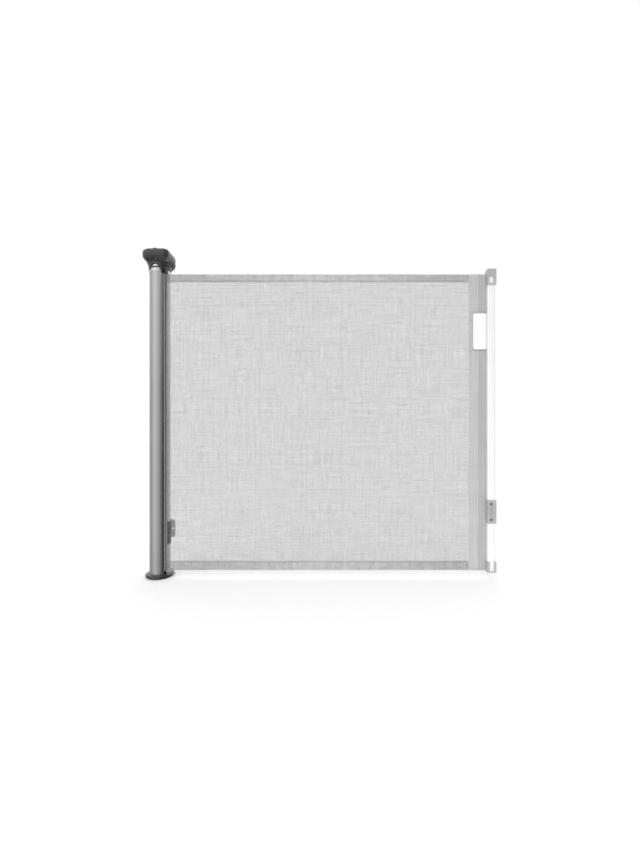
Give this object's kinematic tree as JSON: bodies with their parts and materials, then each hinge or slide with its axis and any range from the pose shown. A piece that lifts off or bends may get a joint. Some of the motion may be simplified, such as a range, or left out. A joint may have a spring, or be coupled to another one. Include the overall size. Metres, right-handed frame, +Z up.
{
  "type": "retractable safety gate",
  "caption": "Retractable mesh safety gate: wall-mounted roller housing with a turn-to-lock head, pull-out mesh, pull bar with hooks, and catches for the opposite wall.",
  "frame": {"origin": "centre of the four housing wall screws, on the wall", "axes": "+Z up, +Y into the wall that the housing is screwed to, +X from the housing towards the pull bar and the opposite wall"},
  "size_m": [0.9544, 0.091, 0.8846],
  "materials": {
    "tube_aluminium": "satin anodised",
    "bright_ring": "polished",
    "dark_plastic": "matte",
    "black_plastic": "glossy",
    "head_plastic": "semi-gloss moulded",
    "button_plastic": "semi-gloss moulded",
    "screw_steel": "plated",
    "inner_steel": "machined",
    "spring_steel": "drawn wire",
    "bearing_brass": "turned",
    "white_plastic": "matte",
    "foot_rubber": "matte rubber",
    "bracket_paint": "powder coat",
    "bracket_plate": "powder coat",
    "mesh_fabric": "see-through woven mesh",
    "hem_fabric": "folded mesh, sewn",
    "band_vinyl": "woven tape, sewn",
    "fitting_plastic": "moulded",
    "bar_white": "white powder coat",
    "catch_white": "moulded"
  },
  "bodies": {
    "housing": {"housing_tube": "tube_aluminium", "slot_lips": "dark_plastic", "slot_plug": "black_plastic", "head_base": "head_plastic", "head_cover": "head_plastic", "neck_ring": "bright_ring", "head_screws": "screw_steel", "friction_washer": "white_plastic", "pawl_pin": "inner_steel", "upper_bearing": "bearing_brass", "spring_shaft": "inner_steel", "torsion_spring": "spring_steel", "lower_bearing": "bearing_brass", "foot_plate": "black_plastic", "foot_screws": "screw_steel", "foot_pad": "foot_rubber", "upper_wall_bracket": "bracket_paint", "lower_wall_bracket": "bracket_plate", "lower_clamp": "bracket_paint", "clamp_screws": "screw_steel", "mesh_panel": "mesh_fabric", "top_hem": "hem_fabric", "bottom_hem": "hem_fabric", "upper_catch": "catch_white", "lower_catch": "catch_white"},
    "roller": {"ratchet_wheel": "inner_steel", "upper_axle": "inner_steel", "roller_tube": "tube_aluminium", "mesh_roll": "mesh_fabric", "roller_top_plug": "white_plastic", "roller_bottom_plug": "white_plastic", "spring_anchor": "white_plastic"},
    "carriage": {"end_band": "band_vinyl", "grip_rim": "fitting_plastic", "band_stiffener": "white_plastic", "band_bead": "white_plastic"},
    "pull_bar": {"pull_bar": "bar_white", "bar_top_hook": "fitting_plastic", "bar_lower_hook": "fitting_plastic", "bar_bottom_cap": "fitting_plastic", "hook_screws": "screw_steel", "upper_tongue": "catch_white", "lower_tongue": "catch_white"},
    "dial": {"lock_dial": "head_plastic", "button_spring": "spring_steel"},
    "button": {"release_button": "button_plastic"},
    "pawl": {"pawl": "inner_steel"}
  },
  "joints": [
    {"name": "pull_out", "type": "slide", "parent": "housing", "child": "carriage", "axis": [1, 0, 0], "range_m": [-0.8, 0], "deforming": ["mesh_panel", "top_hem", "bottom_hem"]},
    {"name": "roller_spin", "type": "hinge", "parent": "housing", "child": "roller", "pos_m": [0, -0.044, -0.074], "axis": [0, 0, 1], "range_deg": [-2610, 0], "deforming": ["torsion_spring"]},
    {"name": "hook_drop", "type": "slide", "parent": "carriage", "child": "pull_bar", "axis": [0, 0, 1], "range_m": [-0.013, 0]},
    {"name": "dial_turn", "type": "hinge", "parent": "housing", "child": "dial", "pos_m": [0, -0.048, 0.366], "axis": [0, 0, 1], "range_deg": [0, 45]},
    {"name": "pawl_swing", "type": "hinge", "parent": "housing", "child": "pawl", "pos_m": [-0.01, -0.02668, 0.347], "axis": [0, 0, 1], "range_deg": [0, 13.6]},
    {"name": "button_press", "type": "slide", "parent": "dial", "child": "button", "axis": [0, 0, -1], "range_m": [0, 0.004], "stiffness_N_per_m": 600, "springref_m": -0.003, "deforming": ["button_spring"]}
  ],
  "couplings": [
    {"joint": "roller_spin", "follows": "pull_out", "rad_per_m": 56.94},
    {"joint": "pawl_swing", "follows": "dial_turn", "ratio": 0.3}
  ]
}
